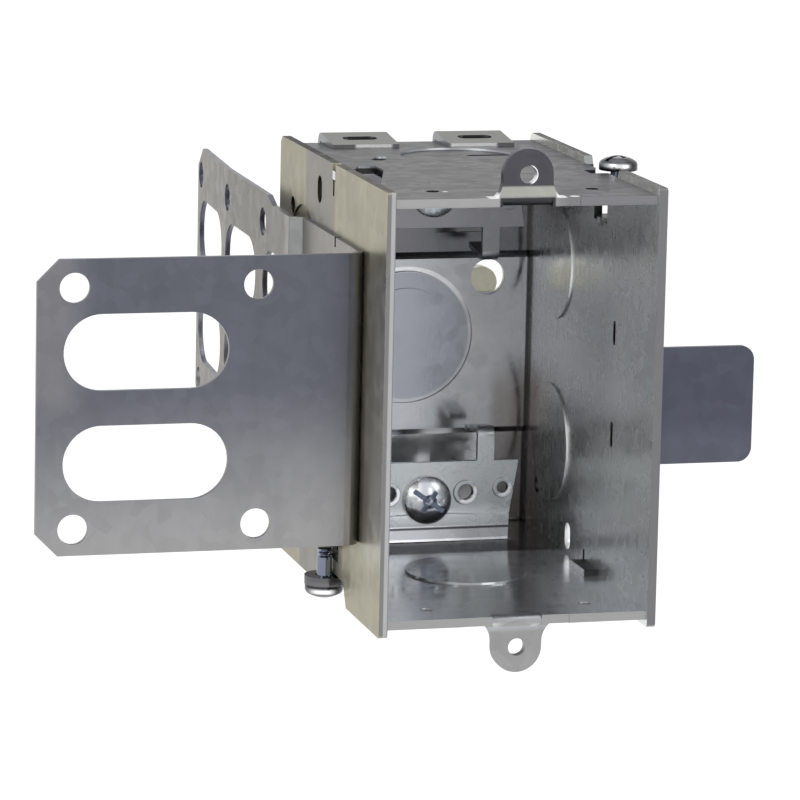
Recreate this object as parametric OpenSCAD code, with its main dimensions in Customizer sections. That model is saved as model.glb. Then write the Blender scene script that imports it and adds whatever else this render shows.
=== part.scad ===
// Gangable steel outlet box with a stud bracket, a drywall tab and two cable clamps.
// Millimetres. X runs to the right, Y runs back from the open front, Z runs up.
// The front edges of the side plates lie at Y = 0 and the box is centred on X = 0 and Z = 0.

/* [Box] */
// Outer width over both side plates
box_w = 50.4; // [46:0.1:58]
// Height of the side plates
box_h = 78; // [74:0.1:84]
// Depth from the front edges to the outer back face
box_d = 78; // [72:0.5:90]
// Sheet thickness of the body and the side plates
sheet = 1.6; // [1.2:0.1:1.8]
// Height by which the side plates stand proud of the top plate
wall_proud = 1.3; // [0.8:0.1:1.6]
// Outer radius of the folds of the body
fold_r = 2; // [1.9:0.1:3]
// Setback of the front edge of the top and bottom plates
plate_setback = 0.5; // [0.2:0.1:1]
// Height of the raised centre panel of the back wall
panel_raise = 0.9; // [0.5:0.1:1.2]
// Upper edge of the raised centre panel
panel_top = 15.3; // [14:0.1:17]
// Lower edge of the raised centre panel
panel_bottom = -17.5; // [-19:0.1:-15]
// Chamfer at the front corners of the side plates
front_chamfer = 0.4; // [0.2:0.1:1]
// Chamfer at the rear corners of the side plates
rear_chamfer = 1.2; // [0.4:0.1:2.4]

/* [Knockouts] */
// Diameter of the knockouts in the side, top and bottom plates
ko_d = 22.2; // [20:0.1:22.8]
// Diameter of the knockout in the back wall
back_ko_d = 25.4; // [22:0.1:28]
// Offset of the knockout discs from the sheet
ko_step = 0.4; // [0.2:0.1:0.6]
// Distance of the side knockout centres from the back face
side_ko_back = 18.5; // [17:0.1:22]
// Distance of the side knockout centres from the upper and lower plate edges
side_ko_edge = 21.7; // [20:0.1:25]
// Distance of the top knockout centre from the back face
top_ko_back = 22.5; // [22:0.1:28]
// Depth of the bottom knockout centre
bottom_ko_y = 35.5; // [32:0.1:40]

/* [Pry outs] */
// Width of each corner pry out
pry_w = 12.8; // [10:0.1:14]
// Centre distance of a corner pry out from the middle
pry_x = 11.2; // [9:0.1:12]
// Length of the corner pry outs along the plates
pry_len = 9.5; // [8:0.1:11]
// Length of the slots in the corner pry outs
pry_slot = 6.6; // [4:0.1:8]
// Height of the pry outs over the sheet at their free ends
pry_raise = 0.6; // [0.3:0.05:1.2]
// Height of the pry outs over the sheet at the rear corner
pry_corner_raise = 1.7; // [0.8:0.1:2]

/* [Ears] */
// Distance of the device screw centres beyond the side plates
ear_reach = 2.67; // [2:0.01:5]
// Diameter of the device screw holes
ear_hole_d = 3.1; // [2.5:0.1:4]
// Radius of the rounded ear ends
ear_r = 4.5; // [4:0.1:6]
// Setback of the ear face
ear_y = 0.65; // [0.5:0.05:1.5]
// Fillet radius at the root of each ear
ear_flare = 4; // [2:0.1:5]

/* [Ganging screws] */
// Distance of the ganging screw axes from the side plates
gang_out = 1.5; // [1.5:0.1:3]
// Depth of the ganging screw axes
gang_y = 33; // [32:0.1:36]
// Major diameter of the ganging screw thread
gang_d = 2.8; // [2.2:0.1:3]
// Diameter of the ganging screw heads
gang_head_d = 7; // [6:0.1:8]
// Smooth length of a ganging screw below its lug
gang_smooth = 3; // [1:0.1:4]
// Length by which the upper ganging screw stands out of its lug
gang_free = 1.2; // [0:0.1:2]
// Offset of the lugs from the plates towards the middle
lug_drop = 1.1; // [0:0.1:1.4]
// Radius of the lugs that carry the ganging screws
lug_r = 3.6; // [3.2:0.1:4.2]
// Distance of the threaded lug from the outer face of the body
thread_lug_in = 10; // [9:0.1:12]
// Length by which the inner lugs of the side plates reach over the body
inner_lug_in = 2.8; // [2:0.1:4]

/* [Stud bracket] */
// Sheet thickness of the stud bracket and the drywall tab
bracket_t = 1; // [0.8:0.1:1.2]
// Setback of the flange faces from the front edges
flange_setback = 12.7; // [10:0.1:16]
// Distance of the outer flange edge from the side plate
flange_reach = 58.1; // [55:0.1:64]
// Distance by which the stud bracket is lower than the side plates
bracket_less = 26.2; // [24:0.1:30]
// Height of the middle of the stud bracket
bracket_z = 0.7; // [0:0.1:1.5]
// Outer radius of the flange folds
bracket_fold_r = 3.3; // [2.6:0.1:4]
// Depth of the far end of the bracket
bracket_end_y = 147.4; // [146:0.1:152]
// Depth of the outward step of the bracket
joggle_y = 55.6; // [50:0.1:57]
// Width of the outward step of the bracket
joggle_out = 2.3; // [1.5:0.1:3]
// Inward lean of the rear plate up to the middle hole column in degrees
lean_near = 0.8; // [0:0.1:1.5]
// Inward lean of the rear plate behind the middle hole column in degrees
lean_far = 3.5; // [2:0.1:3.6]
// Diameter of the fixing holes
fix_d = 5.3; // [4:0.1:6]
// Pitch of the fixing holes along the plates
fix_pitch = 32.3; // [30:0.1:33]
// Size of the chamfers at the flange corners
flange_chamfer = 3.9; // [2:0.1:5]

/* [Drywall tab] */
// Distance of the outer tab edge from the side plate
tab_reach = 21.4; // [17:0.1:27]
// Upper edge of the tab
tab_top = 8.6; // [7:0.1:10]
// Lower edge of the tab
tab_bottom = -12.5; // [-14:0.1:-11]
// Radius of the outer tab corners
tab_r = 2.6; // [1.5:0.1:5]
// Depth of the rear end of the tab leg
tab_leg_y = 44; // [38:0.5:60]

/* [Clamps] */
// Distance of the clamp faces from the back face
clamp_back = 17; // [14:0.1:20]
// Width of the clamps at their inner edges
clamp_w = 35.8; // [32:0.1:38]
// Narrowing of the clamps towards the fold on each side
clamp_taper = 1.7; // [0.5:0.1:2.5]
// Sheet thickness of the clamps
clamp_t = 1.1; // [0.9:0.1:1.5]
// Height of a clamp over its fold
clamp_h = 12.3; // [11.8:0.1:12.4]
// Distance of the inner edge of the upper clamp from the top plate
clamp_upper_in = 12.7; // [12.6:0.1:13.6]
// Distance of the inner edge of the lower clamp from the bottom plate
clamp_lower_in = 15.1; // [13:0.1:16]
// Distance of the clamp screws from the inner edges of the clamps
clamp_screw_in = 7; // [6.5:0.1:7.4]
// Major diameter of the clamp screw thread
clamp_screw_d = 4.2; // [3.5:0.1:4.4]
// Diameter of the clamp screw heads
clamp_head_d = 9.1; // [8:0.1:9.5]

/* [Fits] */
// Radial clearance of a thread in its hole
thread_gap = 0.05; // [0.02:0.01:0.2]
// Clearance of the interlocking tabs in their notches
tab_gap = 0.15; // [0.05:0.05:0.3]

/* [Hidden] */
$fn = 48;
body_x = box_w / 2 - sheet;
plate_z1 = box_h / 2 - wall_proud;
plate_z0 = plate_z1 - sheet;
ear_screw_z = box_h / 2 + ear_reach;
gang_x = box_w / 2 + gang_out;
thread_lug_z = plate_z1 - thread_lug_in;
flange_x = box_w / 2 + flange_reach;
tab_x = box_w / 2 + tab_reach;
bracket_h = box_h - bracket_less;
slot_h = (bracket_h - 25) / 2;
slot_row_top = slot_h / 2 + 2.9;
slot_row_bottom = -slot_h / 2 - 3.2;
clamp_y = box_d - clamp_back;
clamp_upper_z = plate_z0 - clamp_upper_in;
clamp_lower_z = plate_z0 - clamp_lower_in;
upper_screw_z = clamp_upper_z + clamp_screw_in - 0.3;
lower_screw_z = clamp_lower_z + clamp_screw_in + 0.1;
side_ko_y = box_d - side_ko_back;
side_ko_z = max(box_h / 2 - side_ko_edge, ko_d / 2 + 0.6);
top_ko_y = box_d - top_ko_back;
pry_y = box_d - pry_len;
back_in = box_d - sheet;
panel_in = back_in - panel_raise;
panel_slope = 1.2;
pry_z = panel_top + panel_slope + 3.7;
gang_hole_r = gang_d / 2 + thread_gap;
lug_root = gang_head_d / 2 - gang_out - sheet + 2.8;
screw_pitch = 0.8;
small_hole_d = 2.4;
small_hole_x = 14.5;
small_hole_y = 10;
small_hole_low_y = 7.8;
back_hole_d = 6.8;
plug_d = 6.2;
plug_x = 14.1;
plug_z = 10.4;
edge_y = gang_y + 1.4;
cut_y0 = edge_y - 11;
cut_y1 = edge_y + 9;
wall_tab_y = edge_y + 2.9;
wall_tab_w = 2.1;
back_ko_x = -0.8;
back_ko_z = 0.7;
fix_row_top = bracket_h / 2 - 5;
fix_row_bottom = -bracket_h / 2 + 4.6;
rear_shift = 0.9;
gang_head_h = 2.6;
gang_turn = 24;
clamp_head_h = 2.5;
upper_screw_turn = 20;
lower_screw_turn = -35;
groove_w = 0.8;
groove_d = 0.4;
kink_y = joggle_y + 56;
plate_x = -(box_w / 2 + bracket_t);
rear_x0 = plate_x - joggle_out;
rear_x1 = rear_x0 + (kink_y - joggle_y - 1.6) * tan(lean_near);
rear_x2 = rear_x1 + (bracket_end_y - kink_y) * tan(lean_far);

// Extrudes a drawing in the XY plane from z0 to z1
module in_xy(z0, z1) {
    translate([0, 0, z0]) linear_extrude(z1 - z0) children();
}

// Extrudes a drawing in the YZ plane from x0 to x1
module in_yz(x0, x1) {
    rotate([90, 0, 90]) translate([0, 0, x0]) linear_extrude(x1 - x0) children();
}

// Extrudes a drawing in the XZ plane from y0 to y1
module in_xz(y0, y1) {
    translate([0, y1, 0]) rotate([90, 0, 0]) linear_extrude(y1 - y0) children();
}

// A slot with round ends, centred, its length along the first axis
module obround(l, w) {
    square([l - w, w], center = true);
    translate([-(l - w) / 2, 0]) circle(d = w);
    translate([(l - w) / 2, 0]) circle(d = w);
}

// A quarter ring, centred on its bend, in the quadrant given by two signs
module fold(ro, t, sx, sy) {
    intersection() {
        difference() {
            circle(r = ro);
            circle(r = ro - t);
        }
        translate([sx > 0 ? 0 : -ro, sy > 0 ? 0 : -ro]) square([ro, ro]);
    }
}

// Turns a feature of the upper half round the depth axis to the lower half
module half_turn() {
    rotate([0, 180, 0]) children();
}

// Upper half of the folded body, from the front edge to the back panel at edge_z
module half_profile(edge_z) {
    translate([plate_setback, plate_z0]) square([box_d - fold_r - plate_setback, sheet]);
    translate([box_d - fold_r, plate_z1 - fold_r]) fold(fold_r, sheet, 1, 1);
    translate([back_in, edge_z + panel_slope]) square([sheet, plate_z1 - fold_r - edge_z - panel_slope]);
    polygon([
        [back_in, edge_z + panel_slope],
        [box_d, edge_z + panel_slope],
        [box_d - panel_raise, edge_z],
        [panel_in, edge_z]
    ]);
    translate([panel_in, 0]) square([sheet, edge_z]);
}

// Section of one pry out, folded round the rear corner and raised most there
module pry_profile() {
    corner_y = box_d - fold_r + pry_corner_raise;
    corner_z = plate_z1 - fold_r + pry_corner_raise;
    polygon([
        [pry_y - 0.3, plate_z0 + pry_raise],
        [corner_y, plate_z0 + pry_corner_raise],
        [corner_y, plate_z1 + pry_corner_raise],
        [pry_y - 0.3, plate_z1 + pry_raise]
    ]);
    translate([corner_y, corner_z]) fold(fold_r, sheet, 1, 1);
    polygon([
        [back_in + pry_raise, pry_z - 0.3],
        [box_d + pry_raise, pry_z - 0.3],
        [box_d + pry_corner_raise, corner_z],
        [back_in + pry_corner_raise, corner_z]
    ]);
}

// Room that a pry out takes from the flat sheet
module pry_room() {
    translate([pry_y, pry_z]) square([box_d - pry_y + 1, plate_z1 - pry_z + 1]);
}

// The two pry outs at the upper rear corner
module pry_outs() {
    for (s = [-1, 1]) {
        difference() {
            in_yz(s * pry_x - pry_w / 2, s * pry_x + pry_w / 2) pry_profile();
            translate([s * pry_x, pry_y + 4.6, plate_z1])
                linear_extrude(6, center = true) obround(pry_slot, 2.6);
        }
    }
}

// Ear with its fold, drawn for the upper edge
module ear() {
    translate([-ear_r, 0, 0]) in_yz(0, 2 * ear_r) {
        translate([ear_y + fold_r, plate_z0 + fold_r]) fold(fold_r, sheet, -1, -1);
        translate([ear_y + fold_r, plate_z0]) square([3, sheet]);
    }
    in_xz(ear_y, ear_y + sheet) {
        translate([0, ear_screw_z]) circle(r = ear_r);
        translate([-ear_r, plate_z0 + fold_r]) square([2 * ear_r, ear_screw_z - plate_z0 - fold_r]);
        for (s = [-1, 1]) {
            difference() {
                translate([s > 0 ? ear_r : -ear_r - ear_flare, plate_z0])
                    square([ear_flare, ear_flare + 0.6]);
                translate([s * (ear_r + ear_flare), plate_z0 + 0.6 + ear_flare]) circle(r = ear_flare);
            }
        }
    }
}

// Sheet cut away in front of an ear
module ear_room() {
    translate([-ear_r, plate_setback - 1, plate_z0 - 1])
        cube([2 * ear_r, ear_y + fold_r - plate_setback + 1, sheet + 2]);
    for (s = [-1, 1]) {
        translate([s > 0 ? ear_r : -ear_r - ear_flare - 1, plate_setback - 1, plate_z0 - 1])
            cube([ear_flare + 1, ear_y - plate_setback + 1, sheet + 2]);
    }
}

// Removes the recess on the outer side of a knockout disc at the centre of the drawing plane
module ko_recess(r) {
    translate([0, 0, -ko_step]) cylinder(r = r, h = 2, $fn = 72);
}

// Disc standing proud on the inner side of a knockout
module ko_disc(r) {
    translate([0, 0, -sheet - ko_step]) cylinder(r = r - 0.02, h = ko_step + 0.2, $fn = 72);
}

// Lug of the upper right edge that holds a ganging screw
module screw_lug() {
    lug_z1 = plate_z1 - lug_drop;
    in_xy(lug_z1 - sheet, lug_z1) {
        translate([gang_x, gang_y]) circle(r = lug_r);
    }
    in_xz(gang_y - lug_r, gang_y + lug_r) {
        polygon([
            [body_x - lug_root - 0.4, plate_z0],
            [body_x - lug_root, plate_z0],
            [body_x - lug_root + 2.2, lug_z1 - sheet],
            [gang_x, lug_z1 - sheet],
            [gang_x, lug_z1],
            [body_x - lug_root + 2.2, lug_z1],
            [body_x - lug_root, plate_z1],
            [body_x - lug_root - 0.4, plate_z1]
        ]);
    }
}

// Flat sheet taken away where the lug bends down
module lug_room() {
    translate([body_x - lug_root, gang_y - lug_r, plate_z0 - 1]) cube([lug_root + 1, 2 * lug_r, sheet + 2]);
}

// Tab of the upper left edge that enters the notch of the side plate
module wall_tab() {
    translate([-box_w / 2, wall_tab_y - wall_tab_w / 2, plate_z0]) cube([sheet + 1, wall_tab_w, sheet]);
}

// Openings of the upper left edge of the body
module left_openings() {
    in_xy(plate_z0 - 1, plate_z1 + 1) {
        polygon([
            [-body_x - 1, edge_y - 17.4],
            [-body_x + 2.1, edge_y - 15.9],
            [-body_x + 7.6, edge_y + 3.1],
            [-body_x + 7.6, edge_y + 8.9],
            [-body_x + 4.4, edge_y + 8.9],
            [-body_x + 1.2, edge_y + 1.6],
            [-body_x - 1, edge_y + 1.6]
        ]);
        translate([-12.5, top_ko_y - 2.5]) rotate(58) obround(5.4, 2.6);
    }
}

// Folded body with top plate, back wall and bottom plate
module box_body() {
    color([0.62, 0.63, 0.64]) difference() {
        union() {
            difference() {
                in_yz(-body_x, body_x) {
                    half_profile(panel_top);
                    mirror([0, 1]) half_profile(-panel_bottom);
                }
                for (s = [-1, 1]) {
                    in_yz(s * pry_x - pry_w / 2, s * pry_x + pry_w / 2) {
                        pry_room();
                        mirror([0, 1]) pry_room();
                    }
                }
                ear_room();
                half_turn() ear_room();
                left_openings();
                lug_room();
                half_turn() lug_room();
                translate([3.4, top_ko_y, plate_z1]) ko_recess(ko_d / 2);
                translate([0.5, bottom_ko_y, -plate_z1]) mirror([0, 0, 1]) ko_recess(ko_d / 2);
                translate([back_ko_x, box_d - panel_raise, back_ko_z]) rotate([-90, 0, 0])
                    ko_recess(back_ko_d / 2);
                translate([plug_x + 1.1, box_d, plug_z + 1.2]) rotate([90, 0, 0])
                    cylinder(d = back_hole_d, h = 6, center = true);
            }
            pry_outs();
            half_turn() pry_outs();
            ear();
            half_turn() ear();
            screw_lug();
            half_turn() screw_lug();
            wall_tab();
            half_turn() wall_tab();
            translate([3.4, top_ko_y, plate_z1]) ko_disc(ko_d / 2);
            translate([0.5, bottom_ko_y, -plate_z1]) mirror([0, 0, 1]) ko_disc(ko_d / 2);
            translate([back_ko_x, box_d - panel_raise, back_ko_z]) rotate([-90, 0, 0]) {
                ko_disc(back_ko_d / 2);
                translate([0, 0, -sheet - ko_step - 0.3]) cylinder(r = back_ko_d * 0.36, h = 0.5, $fn = 60);
            }
            in_xz(back_in - 0.2, back_in + sheet + 0.9) translate([plug_x, plug_z]) circle(d = plug_d);
            in_xz(panel_in + 0.4, back_in + 0.1) translate([plug_x, plug_z]) {
                intersection() {
                    circle(d = plug_d);
                    translate([0, -plug_d / 2 + 0.6]) square([plug_d, 1.6], center = true);
                }
            }
        }
        in_xz(panel_in - ko_step - 1, panel_in + groove_d) {
            translate([back_ko_x, back_ko_z]) difference() {
                circle(d = back_ko_d + groove_w, $fn = 72);
                circle(d = back_ko_d - groove_w, $fn = 72);
            }
        }
        for (s = [-1, 1]) {
            translate([0, ear_y + sheet / 2, s * ear_screw_z]) rotate([90, 0, 0])
                cylinder(d = ear_hole_d, h = 4, center = true, $fn = 36);
            translate([s * gang_x, gang_y, s * (plate_z0 - lug_drop)])
                cylinder(r = gang_hole_r + 0.15, h = 6, center = true);
            for (x = [-small_hole_x, small_hole_x]) {
                translate([x, s > 0 ? small_hole_y : small_hole_low_y, s * plate_z0])
                    cylinder(d = small_hole_d, h = 6, center = true, $fn = 24);
            }
        }
        for (z = [upper_screw_z, -lower_screw_z]) {
            translate([0, box_d, z]) rotate([90, 0, 0])
                cylinder(r = clamp_screw_d / 2 + thread_gap, h = 6, center = true, $fn = 36);
        }
        translate([9.6, top_ko_y + 3, plate_z1]) linear_extrude(6, center = true) obround(8.4, 1.5);
    }
}

// Side plate, drawn for the left side
module side_plate() {
    color([0.66, 0.66, 0.63]) difference() {
        union() {
            difference() {
                in_yz(-box_w / 2, -body_x) side_outline();
                for (s = [-1, 1]) {
                    translate([-box_w / 2, side_ko_y, s * side_ko_z]) rotate([0, -90, 0]) ko_recess(ko_d / 2);
                }
            }
            for (s = [-1, 1]) {
                translate([-box_w / 2, side_ko_y, s * side_ko_z]) rotate([0, -90, 0]) ko_disc(ko_d / 2);
            }
            thread_lug();
            inner_lug();
        }
        translate([-gang_x, gang_y, -thread_lug_z]) cylinder(r = gang_hole_r, h = 6, center = true, $fn = 36);
    }
}

// Outline of the side plate with its notches and slots
module side_outline() {
    difference() {
        polygon([
            [0, -box_h / 2 + front_chamfer],
            [front_chamfer, -box_h / 2],
            [box_d - rear_chamfer, -box_h / 2],
            [box_d, -box_h / 2 + rear_chamfer],
            [box_d, box_h / 2 - rear_chamfer],
            [box_d - rear_chamfer, box_h / 2],
            [front_chamfer, box_h / 2],
            [0, box_h / 2 - front_chamfer]
        ]);
        translate([wall_tab_y - wall_tab_w / 2 - tab_gap, plate_z0 - tab_gap])
            square([wall_tab_w + 2 * tab_gap, box_h]);
        translate([wall_tab_y - 0.5, plate_z0 - 2.9]) square([1, box_h]);
        polygon([
            [cut_y0 - 1, -box_h / 2 - 1],
            [cut_y0 + 2, -plate_z0 + lug_drop + 0.3],
            [cut_y1 - 2, -plate_z0 + lug_drop + 0.3],
            [cut_y1 + 1, -box_h / 2 - 1]
        ]);
        translate([gang_y - 3.9, -thread_lug_z - 4.4]) square([7.8, 3.6]);
        translate([side_ko_y - 12, box_h / 2 - 6]) rotate(90) obround(5, 3.2);
        translate([side_ko_y + 8.1, side_ko_z + 10]) circle(d = 3.2);
        translate([23, -9.6]) rotate(90) obround(4.4, 1.3);
        translate([23, 8.9]) rotate(90) obround(4.7, 1.3);
    }
}

// Threaded lug bent out of the side plate
module thread_lug() {
    in_xy(-thread_lug_z - sheet, -thread_lug_z) {
        translate([-gang_x, gang_y - 3.6]) square([gang_x - box_w / 2 + 1, 7.2]);
        translate([-gang_x, gang_y]) circle(r = 3.6);
    }
}

// Lug bent inward from the side plate, lying under the top plate
module inner_lug() {
    translate([-box_w / 2 + 0.2, edge_y - 6.4, plate_z0 - 1.2]) cube([sheet + inner_lug_in - 0.2, 8.5, 1.2]);
}

module side_plate_left() {
    side_plate();
}

module side_plate_right() {
    half_turn() side_plate();
}

// Screw standing on the origin, head up, its shank running down, smooth and then threaded
module pan_screw(d, head_d, head_h, length, smooth) {
    crest = d / 2;
    root = crest - 0.34 * screw_pitch;
    turns = floor((length - smooth - 1.2) / screw_pitch);
    thread_z = -0.6 - smooth;
    difference() {
        intersection() {
            cylinder(d = head_d, h = head_h);
            translate([0, 0, head_h - head_d * 0.82]) sphere(r = head_d * 0.82, $fn = 64);
            translate([0, 0, -head_d * 0.1])
                cylinder(r1 = head_d * 0.62, r2 = head_d * 0.4, h = head_h + head_d * 0.1);
        }
        translate([0, 0, head_h]) cube([head_d * 0.86, 0.95, 1.8], center = true);
        translate([0, 0, head_h]) cube([0.95, head_d * 0.5, 2.2], center = true);
        translate([0, 0, head_h - 1.4]) cylinder(r1 = 0.5, r2 = head_d * 0.17, h = 1.5, $fn = 24);
    }
    rotate_extrude($fn = 28) polygon(concat(
        [[0, 0.2], [crest - 0.02, 0.2], [crest - 0.02, thread_z + 0.3]],
        [for (i = [0 : turns - 1], k = [0 : 1]) [k == 0 ? root : crest, thread_z - (i + k / 2) * screw_pitch]],
        [[root, thread_z - turns * screw_pitch], [root * 0.72, -length], [0, -length]]
    ));
}

// Ganging screw of the upper right lug, ending short of the level of the stud bracket
module gang_screw(free) {
    seat_z = plate_z1 - lug_drop + free;
    length = seat_z - bracket_h / 2 + bracket_z - 0.4;
    color([0.72, 0.73, 0.75]) translate([gang_x, gang_y, seat_z])
        rotate(gang_turn) pan_screw(gang_d, gang_head_d, gang_head_h, length, sheet + gang_smooth);
}

module ganging_screw_right() {
    gang_screw(gang_free);
}

module ganging_screw_left() {
    half_turn() gang_screw(0);
}

// Plan of the folded stud bracket
module bracket_plan() {
    translate([-flange_x, flange_setback])
        square([flange_x - box_w / 2 - bracket_fold_r, bracket_t]);
    translate([-box_w / 2 - bracket_fold_r, flange_setback + bracket_fold_r])
        fold(bracket_fold_r, bracket_t, 1, -1);
    polygon([
        [plate_x, flange_setback + bracket_fold_r],
        [-box_w / 2, flange_setback + bracket_fold_r],
        [-box_w / 2, joggle_y + 0.6],
        [-box_w / 2 - joggle_out, joggle_y + 2.2],
        [rear_x1 + bracket_t, kink_y],
        [rear_x2 + bracket_t, bracket_end_y],
        [rear_x2, bracket_end_y],
        [rear_x1, kink_y],
        [rear_x0, joggle_y + 1.6],
        [plate_x, joggle_y]
    ]);
}

// Side outline of the bracket from the flange to the far end
module bracket_side() {
    z0 = bracket_z - bracket_h / 2;
    z1 = bracket_z + bracket_h / 2;
    difference() {
        polygon([
            [flange_setback - 1, z0],
            [bracket_end_y - 5.5, z0],
            [bracket_end_y, z0 + 4],
            [bracket_end_y, z1 + 1.5 - 4],
            [bracket_end_y - 5.5, z1 + 1.5],
            [joggle_y + 19.6, z1 + 1.5],
            [joggle_y + 15.6, z1 + 0.1],
            [joggle_y + 1, z1],
            [flange_setback - 1, z1]
        ]);
        translate([31.2, z1 - 1.8]) square([0.9, 4]);
        for (i = [0 : 2]) {
            for (z = [fix_row_top, fix_row_bottom]) {
                translate([bracket_end_y - 3.7 - i * fix_pitch, z + bracket_z + rear_shift]) circle(d = fix_d);
            }
        }
        for (z = [slot_row_top, slot_row_bottom]) {
            translate([0, z + bracket_z + rear_shift]) {
                translate([bracket_end_y - 16.35, 0]) obround(27.7, slot_h);
                translate([bracket_end_y - 16.35 - fix_pitch, 0]) obround(27.7, slot_h);
                translate([joggle_y + 14.8, 0]) obround(16.4, slot_h);
            }
        }
    }
}

module stud_bracket() {
    z0 = bracket_z - bracket_h / 2;
    z1 = bracket_z + bracket_h / 2;
    hole_x = flange_x - 6.55;
    slot_mid = flange_x - 19.25;
    color([0.60, 0.61, 0.64]) difference() {
        in_xy(z0, z1 + 2) bracket_plan();
        difference() {
            in_yz(-flange_x - 1, -box_w / 2 + 3) {
                translate([flange_setback - 2, z0 - 2]) square([bracket_end_y, bracket_h + 10]);
            }
            in_yz(-flange_x - 2, -box_w / 2 + 4) bracket_side();
        }
        in_xz(flange_setback - 1, flange_setback + bracket_t + 1) {
            for (x = [-hole_x, -hole_x + fix_pitch], z = [fix_row_top, fix_row_bottom]) {
                translate([x, z + bracket_z]) circle(d = fix_d);
            }
            for (z = [slot_row_top, slot_row_bottom]) {
                translate([-slot_mid, z + bracket_z]) obround(29.1, slot_h);
            }
            polygon([
                [-flange_x - 1, z1 - flange_chamfer - 1],
                [-flange_x + flange_chamfer + 1, z1 + 1],
                [-flange_x - 1, z1 + 1]
            ]);
            polygon([
                [-flange_x - 1, z0 + flange_chamfer + 1],
                [-flange_x + flange_chamfer + 1, z0 - 1],
                [-flange_x - 1, z0 - 1]
            ]);
        }
        for (y = [26, 47], z = [-9, 7]) {
            translate([plate_x, y, z + bracket_z]) rotate([0, 90, 0])
                cylinder(r1 = 2.4, r2 = 1.8, h = 0.5, center = true, $fn = 24);
        }
    }
}

// What rounding a corner to radius r takes away
module corner_room(r) {
    difference() {
        square([r + 1, r + 1]);
        circle(r = r);
    }
}

module drywall_tab() {
    x0 = box_w / 2;
    y0 = flange_setback;
    color([0.36, 0.38, 0.43]) difference() {
        in_xy(tab_bottom, tab_top + 4.6) {
            translate([x0 + bracket_fold_r, y0]) square([tab_x - x0 - bracket_fold_r, bracket_t]);
            translate([x0 + bracket_fold_r, y0 + bracket_fold_r]) fold(bracket_fold_r, bracket_t, -1, -1);
            translate([x0, y0 + bracket_fold_r]) square([bracket_t, tab_leg_y - y0 - bracket_fold_r]);
        }
        translate([x0 - 1, y0 - 1, tab_top]) cube([tab_x, bracket_fold_r + 2.5, 10]);
        in_xz(y0 - 1, y0 + bracket_t + 1) {
            translate([tab_x - tab_r, tab_top - tab_r]) corner_room(tab_r);
            translate([tab_x - tab_r, tab_bottom + tab_r]) mirror([0, 1]) corner_room(tab_r);
        }
        for (y = [28, 38]) {
            translate([x0 + bracket_t, y, 0]) rotate([0, 90, 0])
                cylinder(r1 = 1.8, r2 = 2.4, h = 0.5, center = true, $fn = 24);
        }
    }
}

// Clamp drawn with its inner edge at Z = 0, the rest above it
module clamp(screw_z) {
    edge_r = 1.8;
    outer_x = clamp_w / 2 - clamp_taper;
    color([0.70, 0.71, 0.72]) difference() {
        union() {
            in_xz(clamp_y, clamp_y + clamp_t) {
                polygon([
                    [-clamp_w / 2, 0],
                    [clamp_w / 2, 0],
                    [outer_x, clamp_h - edge_r],
                    [-outer_x, clamp_h - edge_r]
                ]);
                for (s = [-1, 1]) {
                    translate([s * 11.4 - 1.65, -4.6]) square([3.3, 5]);
                }
            }
            in_yz(-outer_x, outer_x) {
                translate([clamp_y + edge_r, clamp_h - edge_r]) fold(edge_r, clamp_t, -1, 1);
                translate([clamp_y + edge_r, clamp_h - clamp_t]) square([4.4, clamp_t]);
            }
            for (s = [-1, 1]) {
                in_yz(s * 11.4 - 1.65, s * 11.4 + 1.65) {
                    translate([clamp_y + edge_r, -4.6]) fold(edge_r, clamp_t, -1, -1);
                    polygon([
                        [clamp_y + edge_r, -4.6 - edge_r],
                        [clamp_y + 9.4, -3.4 - edge_r],
                        [clamp_y + 9.4, -3.4 - edge_r + clamp_t],
                        [clamp_y + edge_r, -4.6 - edge_r + clamp_t]
                    ]);
                }
                translate([s * 7.5, clamp_y, 5.9]) rotate([90, 0, 0]) cylinder(r = 2.3, h = 0.5, $fn = 32);
                translate([s * 14.7, clamp_y, 5.2]) rotate([90, 0, 0]) cylinder(r = 1.9, h = 0.4, $fn = 32);
            }
        }
        for (s = [-1, 1]) {
            translate([s * 7.5, clamp_y, 5.9]) rotate([90, 0, 0])
                cylinder(r = 1.5, h = 4, center = true, $fn = 32);
            translate([s * 14.7, clamp_y, 5.2]) rotate([90, 0, 0])
                cylinder(r = 1.1, h = 4, center = true, $fn = 32);
        }
        in_xz(clamp_y - 1, clamp_y + clamp_t + 1) {
            translate([0, screw_z]) rotate(90) obround(clamp_screw_d + 1.3, clamp_screw_d + 0.5);
        }
    }
}

module clamp_upper() {
    translate([0, 0, clamp_upper_z]) clamp(upper_screw_z - clamp_upper_z);
}

module clamp_lower() {
    mirror([0, 0, 1]) translate([0, 0, clamp_lower_z]) clamp(lower_screw_z - clamp_lower_z);
}

// Clamp screw on the clamp face, running back through the back wall
module clamp_screw(turn) {
    color([0.76, 0.77, 0.79]) translate([0, clamp_y, 0]) rotate([90, 0, 0])
        rotate(turn) pan_screw(clamp_screw_d, clamp_head_d, clamp_head_h, clamp_back + 1.6, 0);
}

module clamp_screw_upper() {
    translate([0, 0, upper_screw_z]) clamp_screw(upper_screw_turn);
}

module clamp_screw_lower() {
    translate([0, 0, -lower_screw_z]) clamp_screw(lower_screw_turn);
}

box_body();
side_plate_left();
side_plate_right();
ganging_screw_left();
ganging_screw_right();
stud_bracket();
drywall_tab();
clamp_upper();
clamp_lower();
clamp_screw_upper();
clamp_screw_lower();
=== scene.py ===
import math

import bpy
from mathutils import Matrix, Vector


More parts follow.
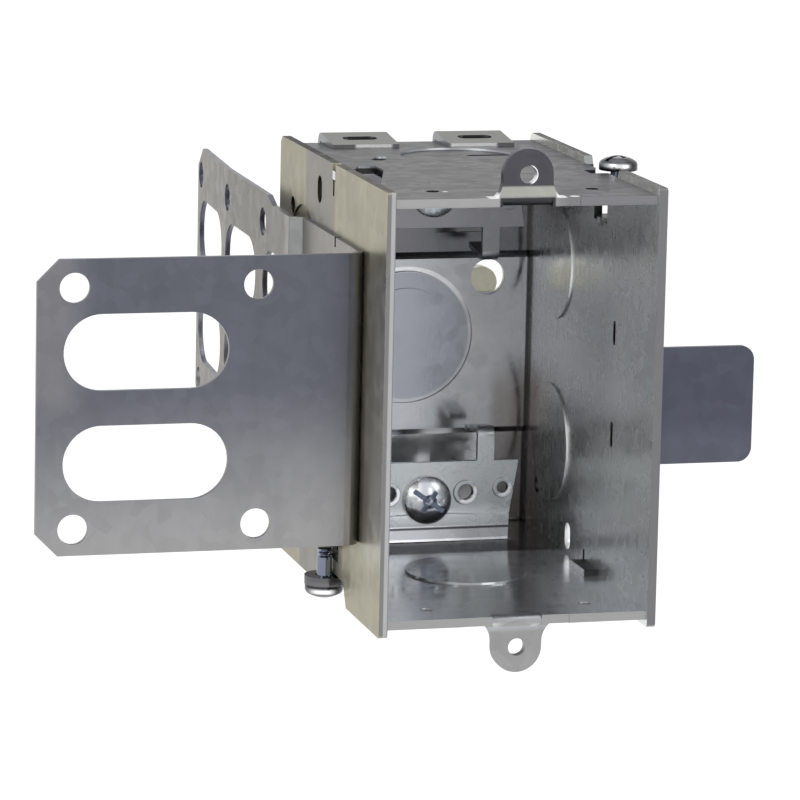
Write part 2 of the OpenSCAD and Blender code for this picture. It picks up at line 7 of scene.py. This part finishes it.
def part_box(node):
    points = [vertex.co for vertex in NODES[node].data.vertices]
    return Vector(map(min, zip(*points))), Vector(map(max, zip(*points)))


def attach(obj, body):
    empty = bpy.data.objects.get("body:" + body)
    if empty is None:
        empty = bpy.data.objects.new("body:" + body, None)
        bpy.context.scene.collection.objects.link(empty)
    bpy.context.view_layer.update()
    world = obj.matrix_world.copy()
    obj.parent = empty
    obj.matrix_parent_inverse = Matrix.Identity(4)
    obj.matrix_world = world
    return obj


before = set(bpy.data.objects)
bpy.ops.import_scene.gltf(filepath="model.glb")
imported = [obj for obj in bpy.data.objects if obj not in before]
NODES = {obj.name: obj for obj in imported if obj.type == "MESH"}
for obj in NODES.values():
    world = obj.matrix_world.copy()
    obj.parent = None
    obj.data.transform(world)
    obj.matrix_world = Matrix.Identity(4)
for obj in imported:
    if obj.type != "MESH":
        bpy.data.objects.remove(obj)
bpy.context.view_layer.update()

MM = 0.001

WHITE = (1, 1, 1, 1)


def lin(r, g, b):
    """A screen colour from 0 to 255 as a linear one."""
    out = []
    for v in (r, g, b):
        v = v / 255
        out.append(v / 12.92 if v <= 0.04045 else ((v + 0.055) / 1.055) ** 2.4)
    return (out[0], out[1], out[2], 1)


def new_object(name, data):
    """An object in the scene, made of a mesh, a lamp or a camera."""
    obj = bpy.data.objects.new(name, data)
    bpy.context.collection.objects.link(obj)
    return obj


# Camera, fitted to the photograph. Its angles are in radians, and its focal length and centre are in pixels of
# the photograph.

YAW, PITCH, ROLL = 0.2594, 0.1499, 0.0206
CAMERA_MM = (-214.371, -702.430, 140.814)
FOCAL_PX = 4310.21
CENTRE_PX = (371.27, 239.33)
IMAGE_PX = 800
SENSOR = 36
NEAR_CLIP = 0.01


def add_camera():
    forward = Vector((math.sin(YAW) * math.cos(PITCH), math.cos(YAW) * math.cos(PITCH), -math.sin(PITCH)))
    level = Vector((math.cos(YAW), -math.sin(YAW), 0))
    upright = level.cross(forward)
    right = level * math.cos(ROLL) + upright * math.sin(ROLL)
    up = upright * math.cos(ROLL) - level * math.sin(ROLL)
    data = bpy.data.cameras.new("camera")
    camera = new_object("camera", data)
    place = Matrix((right, up, -forward)).transposed().to_4x4()
    place.translation = Vector(CAMERA_MM) * MM
    camera.matrix_world = place
    data.sensor_width = SENSOR
    data.lens = FOCAL_PX * SENSOR / IMAGE_PX
    data.shift_x = (IMAGE_PX / 2 - CENTRE_PX[0]) / IMAGE_PX
    data.shift_y = (CENTRE_PX[1] - IMAGE_PX / 2) / IMAGE_PX
    data.clip_start = NEAR_CLIP
    bpy.context.scene.camera = camera


add_camera()


class Tree:
    """A material's node tree with short ways to add nodes."""

    def __init__(self, name):
        self.mat = bpy.data.materials.new(name)
        self.mat.use_nodes = True
        self.nt = self.mat.node_tree
        self.nt.nodes.clear()
        out = self.nt.nodes.new("ShaderNodeOutputMaterial")
        self.bsdf = self.nt.nodes.new("ShaderNodeBsdfPrincipled")
        self.nt.links.new(self.bsdf.outputs[0], out.inputs[0])
        geo = self.nt.nodes.new("ShaderNodeNewGeometry")
        self.pos = geo.outputs["Position"]
        self.x, self.y, self.z = self.node("ShaderNodeSeparateXYZ", self.pos).outputs
        self.nx, self.ny, self.nz = self.node("ShaderNodeSeparateXYZ", geo.outputs["True Normal"]).outputs

    def node(self, kind, *inputs, **props):
        """A new node with its properties and its first inputs set."""
        n = self.nt.nodes.new(kind)
        for k, v in props.items():
            setattr(n, k, v)
        for i, v in enumerate(inputs):
            self.put(n.inputs[i], v)
        return n

    def put(self, socket, value):
        """Links a socket to another one, or sets it to a value."""
        if value is None:
            return
        if isinstance(value, bpy.types.NodeSocket):
            self.nt.links.new(value, socket)
        elif socket.type == "VECTOR":
            socket.default_value = tuple(value)[:3]
        else:
            socket.default_value = value

    def math(self, op, a, b=None, c=None):
        return self.node("ShaderNodeMath", a, b, c, operation=op).outputs[0]

    def mul(self, *parts):
        out = parts[0]
        for p in parts[1:]:
            out = self.math("MULTIPLY", out, p)
        return out

    def vary(self, value, share):
        """A factor that the value, from 0 to 1, moves by share about 1."""
        return self.math("MULTIPLY_ADD", value, share, 1 - share / 2)

    def step(self, value, a, b):
        """0 at a and 1 at b, smooth between them, a above b for a falling step."""
        ends = (a, b, 0.0, 1.0) if a <= b else (b, a, 1.0, 0.0)
        return self.node("ShaderNodeMapRange", value, *ends, interpolation_type="SMOOTHSTEP").outputs[0]

    def band(self, value, lo, hi, soft):
        """1 between lo and hi, with soft edges."""
        return self.mul(self.step(value, lo - soft, lo + soft), self.step(value, hi + soft, hi - soft))

    def noise(self, scale, detail, rough, stretch=(1, 1, 1)):
        """Noise over the position, drawn out along an axis whose factor is under 1."""
        v = self.node("ShaderNodeVectorMath", self.pos, stretch, operation="MULTIPLY").outputs[0]
        n = self.node("ShaderNodeTexNoise", v)
        for name, setting in (("Scale", scale), ("Detail", detail), ("Roughness", rough)):
            n.inputs[name].default_value = setting
        return n.outputs[0]

    def mix(self, fac, a, b):
        """A colour between a and b. Sockets 6 and 7 and output 2 are those of the colour mode."""
        n = self.nt.nodes.new("ShaderNodeMix")
        n.data_type = "RGBA"
        for i, v in ((0, fac), (6, a), (7, b)):
            self.put(n.inputs[i], v)
        return n.outputs[2]

    def dist(self, u, v, cu, cv):
        """Distance from a point in the plane of two coordinates."""
        du = self.math("SUBTRACT", u, cu)
        dv = self.math("SUBTRACT", v, cv)
        return self.math("SQRT", self.math("ADD", self.mul(du, du), self.mul(dv, dv)))


# Scales of the four textures of the zinc, per metre
CLOUD_SCALE = 38
STREAK_SCALE = 260
FINE_SCALE = 1400
SPANGLE_SCALE = 420

# How far the streaks and the spangle move the roughness, and how far gloss lowers it
STREAK_ROUGH = 0.16
SPANGLE_ROUGH = 0.08
GLOSS = 0.17

# Shares of the streaks and the fine grain in the relief, beside the clouds
STREAK_RELIEF = 0.6
FINE_RELIEF = 0.25
RELIEF_STRENGTH = 0.5


def sheet_metal(name, base, zones=(), metallic=0.85, rough=0.34, grain=(1, 1, 1), bump=0.00005, contrast=0.22,
                edges=(), spangle=0.10, gloss=None, edge_tint=1.0):
    """Zinc-coated sheet.

    zones are painted below the grain and edges above it, both as made by zone(). grain stretches the streaks,
    and gloss is a mask of the smoother faces. edge_tint under 1 darkens what the metal reflects at a grazing
    angle.
    """
    t = Tree(name)
    cloud = t.noise(CLOUD_SCALE, detail=5, rough=0.6)
    streak = t.noise(STREAK_SCALE, detail=3, rough=0.5, stretch=grain)
    fine = t.noise(FINE_SCALE, detail=2, rough=0.5)
    cells = t.nt.nodes.new("ShaderNodeTexVoronoi")
    cells.inputs["Scale"].default_value = SPANGLE_SCALE
    t.nt.links.new(t.pos, cells.inputs["Vector"])
    cell = t.node("ShaderNodeSeparateColor", cells.outputs["Color"]).outputs[0]

    colour = base
    for paint, mask in zones:
        colour = t.mix(mask(t), colour, paint)
    shade = t.mul(t.vary(cloud, contrast * 1.5), t.vary(streak, contrast * 0.9), t.vary(cell, spangle))
    scaled = t.nt.nodes.new("ShaderNodeVectorMath")
    scaled.operation = "SCALE"
    t.put(scaled.inputs[0], colour)
    t.put(scaled.inputs["Scale"], shade)
    colour = scaled.outputs[0]
    for paint, mask in edges:
        colour = t.mix(mask(t), colour, paint)
    t.nt.links.new(colour, t.bsdf.inputs["Base Color"])
    t.bsdf.inputs["Metallic"].default_value = metallic
    t.bsdf.inputs["Specular Tint"].default_value = (edge_tint, edge_tint, edge_tint, 1)

    r = t.math("MULTIPLY_ADD", streak, STREAK_ROUGH, rough - STREAK_ROUGH / 2)
    r = t.math("ADD", r, t.math("MULTIPLY_ADD", cell, SPANGLE_ROUGH, -SPANGLE_ROUGH / 2))
    if gloss is not None:
        r = t.math("MULTIPLY_ADD", gloss(t), -GLOSS, r)
    t.nt.links.new(r, t.bsdf.inputs["Roughness"])

    relief = t.nt.nodes.new("ShaderNodeBump")
    relief.inputs["Strength"].default_value = RELIEF_STRENGTH
    relief.inputs["Distance"].default_value = bump
    height = t.math("ADD", t.math("MULTIPLY", streak, STREAK_RELIEF),
                    t.math("ADD", t.math("MULTIPLY", fine, FINE_RELIEF), cloud))
    t.nt.links.new(height, relief.inputs["Height"])
    t.nt.links.new(relief.outputs[0], t.bsdf.inputs["Normal"])
    return t.mat


# Masks. Each is a function of the tree, so every material makes nodes of its own. Lengths are in metres.

SOFT = 0.0001


def coordinate(t, name):
    """A coordinate of the position, as x, or of the normal, as nx. |x| is its size without the sign."""
    value = getattr(t, name.strip("|"))
    return t.math("ABSOLUTE", value) if name.startswith("|") else value


def ramp(name, a, b):
    """0 where the coordinate is a, and 1 where it is b."""
    return lambda t: t.step(coordinate(t, name), a, b)


def band(name, lo, hi, soft=SOFT):
    """1 where the coordinate is between lo and hi."""
    return lambda t: t.band(coordinate(t, name), lo, hi, soft)


def near(name, value, far, full):
    """1 within full of a value of the coordinate, and 0 beyond far."""
    return lambda t: t.step(t.math("ABSOLUTE", t.math("SUBTRACT", coordinate(t, name), value)), far, full)


def disc(u, v, centre, rim, full):
    """1 within full of a centre in the plane of two coordinates, and 0 beyond rim."""
    return lambda t: t.step(t.dist(coordinate(t, u), coordinate(t, v), *centre), rim, full)


def ring(u, v, centre, inner, outer):
    """1 between two distances from a centre in the plane of two coordinates."""
    return lambda t: t.band(t.dist(coordinate(t, u), coordinate(t, v), *centre), inner, outer, SOFT)


def all_of(*masks):
    """Where all the masks are 1."""
    return lambda t: t.mul(*[mask(t) for mask in masks])


def facing(name, sign):
    """1 where the surface faces along the axis of a normal coordinate, up or down it by the sign."""
    return ramp(name, 0.5 * sign, 0.9 * sign)


def cut_wall(name):
    """1 on the walls of cuts through a sheet whose broad faces look both ways along a normal coordinate."""
    return ramp(f"|{name}|", 0.8, 0.4)


def zone(r, g, b, *masks):
    """A screen colour, and where it is painted."""
    return lin(r, g, b), all_of(*masks)


FACE_FRONT = facing("ny", -1)
FACE_UP = facing("nz", 1)
FACE_LEFT = facing("nx", -1)
FACE_RIGHT = facing("nx", 1)

# Screen colours of small highlights that the lamps don't make, unpacked into zone()

GLINT = (240, 240, 240)
LONG_GLINT = (235, 235, 235)


# Folded body: top plate, back wall, bottom plate

KO_CENTRE = (-0.0008, 0.0007)
PLUG_CENTRE = (0.0141, 0.0104)
EAR_HOLE = (0.0, 0.04167)
SMALL_HOLE = (0.0145, 0.010)
BOTTOM_PLATE_Z = -0.0361

INSIDE = all_of(band("z", -0.0363, 0.0363, 0.0002), ramp("y", 0.0785, 0.0778))
CORNER = all_of(INSIDE, ramp("y", 0.0735, 0.0745))
BACK = all_of(INSIDE, FACE_FRONT, ramp("y", 0.070, 0.073))
REAR = all_of(FACE_FRONT, ramp("y", 0.0735, 0.0745), ramp("y", 0.0784, 0.078))
KO_RING = all_of(INSIDE, ramp("y", 0.070, 0.073), ring("x", "z", KO_CENTRE, 0.0123, 0.0132))
PLUG = all_of(disc("x", "z", PLUG_CENTRE, 0.0033, 0.0031), ramp("y", 0.0759, 0.0761))
TOP = all_of(FACE_UP, ramp("z", 0.0364, 0.0368))
TOP_SURFACE = all_of(FACE_UP, ramp("z", 0.0374, 0.0376))
TOP_CUT = all_of(band("z", 0.0362, 0.0373), cut_wall("nz"), ramp("y", 0.004, 0.006),
                 ramp("|x|", 0.0246, 0.0242))
BOTTOM = all_of(FACE_UP, ramp("z", -0.030, -0.034))
PRY_EDGE = all_of(FACE_FRONT, ramp("z", 0.0376, 0.0378), band("y", 0.062, 0.070, 0.001))
PRY_SLOT = all_of(ramp("z", 0.0379, 0.0381), cut_wall("nz"), ramp("y", 0.0705, 0.0712),
                  band("|x|", 0.0066, 0.0160, 0.0003))
FRONT_EDGE = all_of(FACE_FRONT, ramp("y", 0.0009, 0.0007))
TOP_FRONT_EDGE = all_of(FRONT_EDGE, band("z", 0.0360, 0.0378))
UPPER_EAR = all_of(ramp("z", 0.0378, 0.0380), ramp("y", 0.003, 0.002), ramp("|x|", 0.0072, 0.0066))
LUGS = ramp("|x|", 0.0242, 0.0246)

body_zones = [
    # Top plate, painted shade on its right side, and the pry-outs that stand above it, lighter
    zone(73, 73, 75, TOP),
    zone(60, 58, 65, TOP, ramp("x", 0.004, 0.012)),
    zone(128, 128, 125, FACE_UP, ramp("z", 0.0378, 0.0381)),
    # Bottom plate; painted light on its right, painted shadow of the lower clamp, painted shade at the rear
    # right
    zone(192, 195, 201, BOTTOM),
    zone(230, 232, 238, BOTTOM, ramp("x", 0.006, 0.012)),
    zone(66, 66, 70, BOTTOM, band("y", 0.0505, 0.0600, 0.0008)),
    zone(150, 150, 148, BOTTOM, ramp("y", 0.046, 0.056), ramp("x", 0.0150, 0.0175)),
    # Back wall, painted shade on its lower right part, the knockout's darker disc, and the plug
    zone(180, 182, 188, BACK),
    zone(150, 146, 146, BACK, ramp("x", 0.0150, 0.0180), ramp("z", -0.002, -0.012)),
    zone(155, 158, 168, BACK, disc("x", "z", KO_CENTRE, 0.0124, 0.0120)),
    zone(205, 202, 184, PLUG),
    # Set-back rear walls, with painted shade behind the upper clamp and painted light behind the lower clamp
    zone(112, 112, 117, ramp("z", 0.0155, 0.0162), ramp("z", 0.0362, 0.0360), REAR),
    zone(248, 248, 250, ramp("z", -0.0178, -0.0188), ramp("z", -0.0362, -0.0360), REAR,
         ramp("x", 0.0165, 0.0155)),
    # Upper ear: painted shade on its sides and face, painted light on its bend; and the lower ear
    zone(84, 84, 90, UPPER_EAR),
    zone(162, 162, 156, UPPER_EAR, FACE_FRONT),
    zone(75, 74, 81, UPPER_EAR, ramp("z", 0.0394, 0.0399), FACE_FRONT),
    zone(143, 143, 143, ramp("z", -0.0380, -0.0392)),
    # Ganging lugs, darker, and a painted highlight on the edge of the upper one
    zone(105, 105, 108, LUGS),
    zone(*LONG_GLINT, LUGS, FACE_LEFT, ramp("z", 0.030, 0.031)),
]
body_edges = [
    # Front edges of the top and bottom plates, painted shade on the top one's right part and under the upper
    # ear's bend
    zone(155, 155, 156, TOP_FRONT_EDGE),
    zone(120, 120, 123, TOP_FRONT_EDGE, ramp("x", 0.002, 0.008)),
    zone(58, 58, 60, band("z", 0.0358, 0.0377, 0.0002), ramp("y", 0.0026, 0.0018),
         ramp("|x|", 0.0052, 0.0048)),
    zone(150, 150, 150, FRONT_EDGE, band("z", -0.0379, -0.0360)),
    # Front edges of the pry-outs, each with a painted glint, and painted shade on the walls of their slots
    zone(110, 110, 112, PRY_EDGE),
    zone(*LONG_GLINT, PRY_EDGE, band("x", -0.0132, -0.0062, 0.0004)),
    zone(*LONG_GLINT, PRY_EDGE, band("x", 0.0052, 0.0142, 0.0004)),
    zone(62, 62, 64, PRY_SLOT),
    # Painted shade on the walls of the cuts and the small holes in the top plate
    zone(58, 58, 60, TOP_CUT),
    zone(36, 36, 38, ramp("z", 0.0358, 0.0360), disc("|x|", "y", SMALL_HOLE, 0.00145, 0.00130)),
    # Glints by the left small hole, in the upper ear's hole, at both its feet and to the right of it
    zone(*GLINT, TOP_SURFACE, disc("x", "y", (-0.0124, 0.0094), 0.0007, 0.0003)),
    zone(*GLINT, disc("x", "z", EAR_HOLE, 0.00175, 0.00168), ramp("y", 0.0030, 0.0025),
         ramp("x", 0.0002, 0.0009)),
    zone(*GLINT, band("|x|", 0.0052, 0.0070, 0.0003), band("z", 0.0376, 0.0386), ramp("y", 0.0034, 0.0024)),
    zone(*GLINT, TOP_SURFACE, disc("x", "y", (0.0086, 0.0014), 0.0011, 0.0006)),
    # Painted highlight on the upper half of the back knockout's ring, and a dark line in the right rear corner
    zone(225, 226, 230, KO_RING, ramp("z", 0.004, 0.010)),
    zone(70, 70, 70, CORNER, ramp("x", 0.0228, 0.0231)),
]
materials = {
    "box_body": sheet_metal("zinc_body", lin(160, 162, 165), body_zones, grain=(0.15, 1, 1), edges=body_edges,
                            gloss=INSIDE, contrast=0.17, edge_tint=0.75),
}

# Side plates

SIDE_KO = (0.0595, 0.0173)
LIP = all_of(FACE_FRONT, ramp("y", 0.0012, 0.0008))
SIDE_CUT = all_of(cut_wall("nx"), ramp("|z|", 0.0376, 0.0374), ramp("y", 0.002, 0.003))
TOP_EDGE = all_of(FACE_UP, ramp("z", 0.0376, 0.0378))
REAR_TOP_EDGE = all_of(TOP_EDGE, ramp("y", 0.034, 0.040))
REAR_HOLE = all_of(SIDE_CUT, ramp("z", -0.030, -0.031), ramp("y", 0.038, 0.040))
SIDE_KO_WALL = all_of(cut_wall("nx"), disc("y", "|z|", SIDE_KO, 0.0124, 0.0120))

materials["side_plate_left"] = sheet_metal(
    "zinc_side_left", lin(190, 186, 167),
    # Inside, the outside greyer above and below the stud bracket, and painted light in the bracket's shade at
    # the front
    [zone(190, 192, 192, FACE_RIGHT),
     zone(170, 168, 160, FACE_LEFT, band("y", 0.036, 0.058, 0.001)),
     zone(208, 206, 196, FACE_LEFT, band("z", -0.026, 0.024, 0.004), ramp("y", 0.0130, 0.0115))],
    grain=(1, 1, 0.12), gloss=FACE_RIGHT, contrast=0.16, edge_tint=0.45,
    # Painted shade on the top edge and the cut walls, and the front edge with a lighter stripe
    edges=[zone(92, 86, 80, TOP_EDGE),
           zone(26, 22, 18, REAR_TOP_EDGE),
           zone(62, 58, 52, SIDE_CUT),
           zone(122, 122, 120, LIP),
           zone(168, 168, 171, LIP, band("x", -0.02445, -0.02375))])
materials["side_plate_right"] = sheet_metal(
    "zinc_side_right", lin(160, 162, 162),
    # Inside, painted light on its front, upper and lower front parts and inner lug, painted shade at the lower
    # rear
    [zone(216, 218, 216, FACE_LEFT),
     zone(232, 234, 231, FACE_LEFT, ramp("y", 0.030, 0.018)),
     zone(242, 242, 238, FACE_LEFT, ramp("z", 0.010, 0.024)),
     zone(240, 243, 243, FACE_LEFT, ramp("z", -0.022, -0.028), ramp("y", 0.052, 0.044)),
     zone(240, 241, 242, ramp("x", 0.0234, 0.0230), ramp("z", -0.030, -0.032)),
     zone(178, 173, 172, FACE_LEFT, ramp("y", 0.064, 0.070), ramp("z", -0.002, -0.010))],
    grain=(1, 1, 0.12), contrast=0.13, bump=0.00002, edge_tint=0.7,
    gloss=lambda t: t.mul(FACE_LEFT(t), 0.5),
    # Painted shade on the top edge and the cut walls, and painted highlights on the knockout's walls and in
    # the rear hole
    edges=[zone(72, 69, 69, TOP_EDGE),
           zone(12, 11, 11, REAR_TOP_EDGE),
           zone(60, 60, 60, SIDE_CUT),
           zone(225, 226, 226, SIDE_KO_WALL),
           zone(*GLINT, REAR_HOLE),
           zone(113, 113, 115, LIP)])

# Stud bracket and drywall tab

materials["stud_bracket"] = sheet_metal(
    "zinc_bracket", lin(92, 94, 104),
    # Flange with painted reflection, lighter towards its lower edge and at its upper left; rear plate, its far
    # part darker, a painted highlight on the joggle, and painted shade on the flange's bend
    [zone(146, 146, 147, FACE_FRONT, ramp("z", 0.008, -0.026)),
     zone(116, 116, 121, FACE_FRONT, ramp("x", -0.0725, -0.0795), ramp("z", -0.004, 0.004)),
     zone(126, 122, 115, FACE_LEFT),
     zone(98, 94, 86, FACE_LEFT, ramp("y", 0.058, 0.062)),
     zone(148, 150, 149, band("y", 0.0556, 0.0572, 0.0002)),
     zone(92, 92, 90, ramp("x", -0.0276, -0.0271), ramp("y", 0.0180, 0.0170))],
    grain=(1, 1, 0.15), contrast=0.18)
materials["drywall_tab"] = sheet_metal(
    "zinc_tab", lin(75, 78, 90),
    # Lower part lighter as painted light, and painted shade on the bend
    [zone(85, 87, 99, ramp("z", -0.004, -0.009)),
     zone(70, 68, 74, ramp("x", 0.0290, 0.0275))],
    grain=(1, 1, 0.2), contrast=0.14)

# Clamps, with painted highlights on the rims of the lower one's formed holes

CLAMP_FRONT = 0.061
CLAMP_GRAIN = (0.2, 1, 1)
HOLE_NEAR = (0.0075, 0.0023)  # X from the middle, and radius
HOLE_FAR = (0.0147, 0.0019)
HOLE_NEAR_Z = -0.0269
HOLE_FAR_Z = -0.0262


def formed_rim_highlights(t):
    """Painted highlights on the lower right sides of the raised rims of the lower clamp's formed holes."""
    out = None
    for side in (-1, 1):
        for (hx, r), hz in ((HOLE_NEAR, HOLE_NEAR_Z), (HOLE_FAR, HOLE_FAR_Z)):
            rim = t.step(t.dist(t.x, t.z, side * hx, hz), r + SOFT, r - SOFT)
            lower = t.step(t.math("SUBTRACT", t.math("SUBTRACT", t.x, t.z), side * hx - hz), 0.0, 0.0012)
            bright = t.mul(rim, lower)
            out = bright if out is None else t.math("MAXIMUM", out, bright)
    return t.mul(out, t.step(t.y, CLAMP_FRONT, CLAMP_FRONT - 0.0002))


# The upper clamp is set darker than the lower one, as painted shade
materials["clamp_upper"] = sheet_metal("zinc_clamp_upper", lin(132, 132, 138), grain=CLAMP_GRAIN,
                                       contrast=0.16)
materials["clamp_lower"] = sheet_metal(
    "zinc_clamp_lower", lin(186, 190, 192),
    # Painted light on its lower part and painted highlights on the hole rims; painted shade on the walls of
    # its holes
    [zone(240, 243, 246, ramp("z", -0.0285, -0.0318)),
     zone(245, 246, 248, formed_rim_highlights)],
    grain=CLAMP_GRAIN, rough=0.28, contrast=0.16,
    edges=[zone(60, 62, 66, cut_wall("ny"), band("z", -0.0320, -0.0226), ramp("y", 0.0610, 0.0612))])

# Screws

SCREW = dict(metallic=0.95, rough=0.18, contrast=0.2, bump=0.00003, spangle=0.04)
GANG_X, GANG_Y = 0.0267, 0.033

for side, axis_z in (("upper", 0.0301), ("lower", -0.0281)):
    recess = all_of(ramp("ny", -0.975, -0.99), ramp("y", 0.0590, 0.0592),
                    disc("x", "z", (0.0, axis_z), 0.0042, 0.0039))
    # A painted highlight on the head's left side, and painted shade in the cross recess
    materials["clamp_screw_" + side] = sheet_metal(
        "zinc_clamp_screw_" + side, lin(205, 209, 216),
        [zone(250, 251, 252, ramp("x", -0.0010, -0.0024))],
        edges=[zone(88, 96, 110, recess)], **SCREW)

for side, sign, head_z in (("left", -1, 0.0366), ("right", 1, 0.0378)):
    # The head darker as painted shade, a painted highlight on its side, and its crown lighter as painted light
    materials["ganging_screw_" + side] = sheet_metal(
        "zinc_ganging_screw_" + side, lin(128, 134, 150),
        [zone(62, 62, 66, ramp("|z|", head_z - 0.0002, head_z)),
         zone(235, 236, 238, band("|z|", head_z + 0.0006, head_z + 0.0014, 0.0003),
              near("x", sign * GANG_X - 0.0010, 0.0028, 0.0008)),
         zone(150, 151, 155, ramp("|z|", head_z + 0.0016, head_z + 0.0018),
              disc("x", "y", (sign * GANG_X, GANG_Y), 0.0022, 0.0016))],
        **SCREW)

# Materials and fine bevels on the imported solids

WELD_DISTANCE = 0.000002
BEVEL_WIDTH = 0.00012
BEVEL_DEGREES = 38

for name, obj in NODES.items():
    mat = materials[name]
    if not obj.material_slots:
        obj.data.materials.append(mat)
    for s in obj.material_slots:
        s.link = "OBJECT"
        s.material = mat
    weld = obj.modifiers.new("weld", "WELD")
    weld.merge_threshold = WELD_DISTANCE
    bevel = obj.modifiers.new("bevel", "BEVEL")
    bevel.width = BEVEL_WIDTH
    bevel.segments = 2
    bevel.limit_method = "ANGLE"
    bevel.angle_limit = math.radians(BEVEL_DEGREES)
    bevel.harden_normals = False
    bevel.use_clamp_overlap = True


# The lower clamp's outer bend: a narrow strip from the clamp's face down to the plate

def clamp_bend(name, heights, half_widths, fronts, thick):
    """Strip of two flat parts, given the Z, half width and front Y of its three rows of corners."""
    verts = []
    for z, w, y in zip(heights, half_widths, fronts):
        verts += [(-w, y, z), (-w, y + thick, z), (w, y, z), (w, y + thick, z)]
    faces = [(0, 1, 3, 2), (8, 10, 11, 9)]
    for k in (0, 4):
        faces += [(k, k + 2, k + 6, k + 4), (k + 1, k + 5, k + 7, k + 3), (k, k + 4, k + 5, k + 1),
                  (k + 2, k + 3, k + 7, k + 6)]
    mesh = bpy.data.meshes.new(name)
    mesh.from_pydata(verts, [], faces)
    mesh.validate()
    mesh.update()
    return new_object(name, mesh)


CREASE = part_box("clamp_lower")[0][2]
FOLD_START = CREASE + 0.0017
BEND_FRONT = CLAMP_FRONT - 0.00005
strip = clamp_bend("clamp_bend_lower", heights=(FOLD_START, CREASE, BOTTOM_PLATE_Z + 0.0001),
                   half_widths=(0.0162, 0.0161, 0.0158),
                   fronts=(BEND_FRONT, BEND_FRONT, CLAMP_FRONT - 0.0008), thick=0.0010)
strip.data.materials.append(sheet_metal(
    "zinc_clamp_bend", lin(168, 170, 175),
    # Painted light above the crease, painted shade in the dark line below it, and a painted highlight on the
    # foot
    [zone(226, 229, 232, ramp("z", CREASE - 0.0001, CREASE)),
     zone(70, 70, 74, band("z", CREASE - 0.0006, CREASE - 0.0002)),
     zone(225, 225, 230, ramp("z", BOTTOM_PLATE_Z + 0.0006, BOTTOM_PLATE_Z + 0.0004))],
    grain=CLAMP_GRAIN, rough=0.28, contrast=0.16))
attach(strip, "root")


# Floor, world and lamps

FLOOR_Z = -0.42
FLOOR_GREY = 0.93
FLOOR_LIFT = 0.48
WORLD_LIGHT = 0.62
AIM = (0, 0.03, 0)


def seen_rays(nt):
    """1 for camera, glossy and transmission rays, which see the plain white backdrop."""
    path = nt.nodes.new("ShaderNodeLightPath")
    value = path.outputs["Is Camera Ray"]
    for other in ("Is Glossy Ray", "Is Transmission Ray"):
        n = nt.nodes.new("ShaderNodeMath")
        n.operation = "MAXIMUM"
        nt.links.new(value, n.inputs[0])
        nt.links.new(path.outputs[other], n.inputs[1])
        value = n.outputs[0]
    return value


def plain_white(name):
    """A white floor: a diffuse surface that keeps the shadow, lifted to white where it is seen."""
    mat = bpy.data.materials.new(name)
    mat.use_nodes = True
    nt = mat.node_tree
    nt.nodes.clear()
    out = nt.nodes.new("ShaderNodeOutputMaterial")
    diffuse = nt.nodes.new("ShaderNodeBsdfDiffuse")
    diffuse.inputs[0].default_value = (FLOOR_GREY, FLOOR_GREY, FLOOR_GREY, 1)
    lift = nt.nodes.new("ShaderNodeEmission")
    lift.inputs[0].default_value = WHITE
    share = nt.nodes.new("ShaderNodeMath")
    share.operation = "MULTIPLY"
    nt.links.new(seen_rays(nt), share.inputs[0])
    share.inputs[1].default_value = FLOOR_LIFT
    nt.links.new(share.outputs[0], lift.inputs[1])
    both = nt.nodes.new("ShaderNodeAddShader")
    nt.links.new(diffuse.outputs[0], both.inputs[0])
    nt.links.new(lift.outputs[0], both.inputs[1])
    nt.links.new(both.outputs[0], out.inputs[0])
    return mat


def white_world(name):
    """A white world that lights less than it shows."""
    world = bpy.data.worlds.new(name)
    bpy.context.scene.world = world
    world.use_nodes = True
    nt = world.node_tree
    nt.nodes.clear()
    out = nt.nodes.new("ShaderNodeOutputWorld")
    mixer = nt.nodes.new("ShaderNodeMixShader")
    nt.links.new(seen_rays(nt), mixer.inputs[0])
    for i, strength in ((1, WORLD_LIGHT), (2, 1.0)):
        light = nt.nodes.new("ShaderNodeBackground")
        light.inputs[0].default_value = WHITE
        light.inputs[1].default_value = strength
        nt.links.new(light.outputs[0], mixer.inputs[i])
    nt.links.new(mixer.outputs[0], out.inputs[0])


def lamp(name, where, size, power):
    """A rectangular lamp that looks at the object and isn't seen."""
    data = bpy.data.lights.new(name, "AREA")
    data.shape = "RECTANGLE"
    data.size, data.size_y = size
    data.energy = power
    obj = new_object(name, data)
    obj.location = where
    obj.rotation_euler = (Vector(AIM) - Vector(where)).to_track_quat("-Z", "Y").to_euler()
    obj.visible_camera = False


bpy.ops.mesh.primitive_plane_add(size=60, location=(0, 0, FLOOR_Z))
floor = bpy.context.object
floor.name = "floor"
floor.data.materials.append(plain_white("floor_white"))

white_world("studio")
lamp("key", (-0.9, -0.7, 0.7), (0.7, 0.5), 6)
lamp("fill", (0.7, -1.1, 0.35), (0.8, 0.6), 2.7)
lamp("top", (0.1, 0.3, 1.1), (0.8, 0.8), 3.3)

bpy.context.scene.view_settings.view_transform = "Standard"
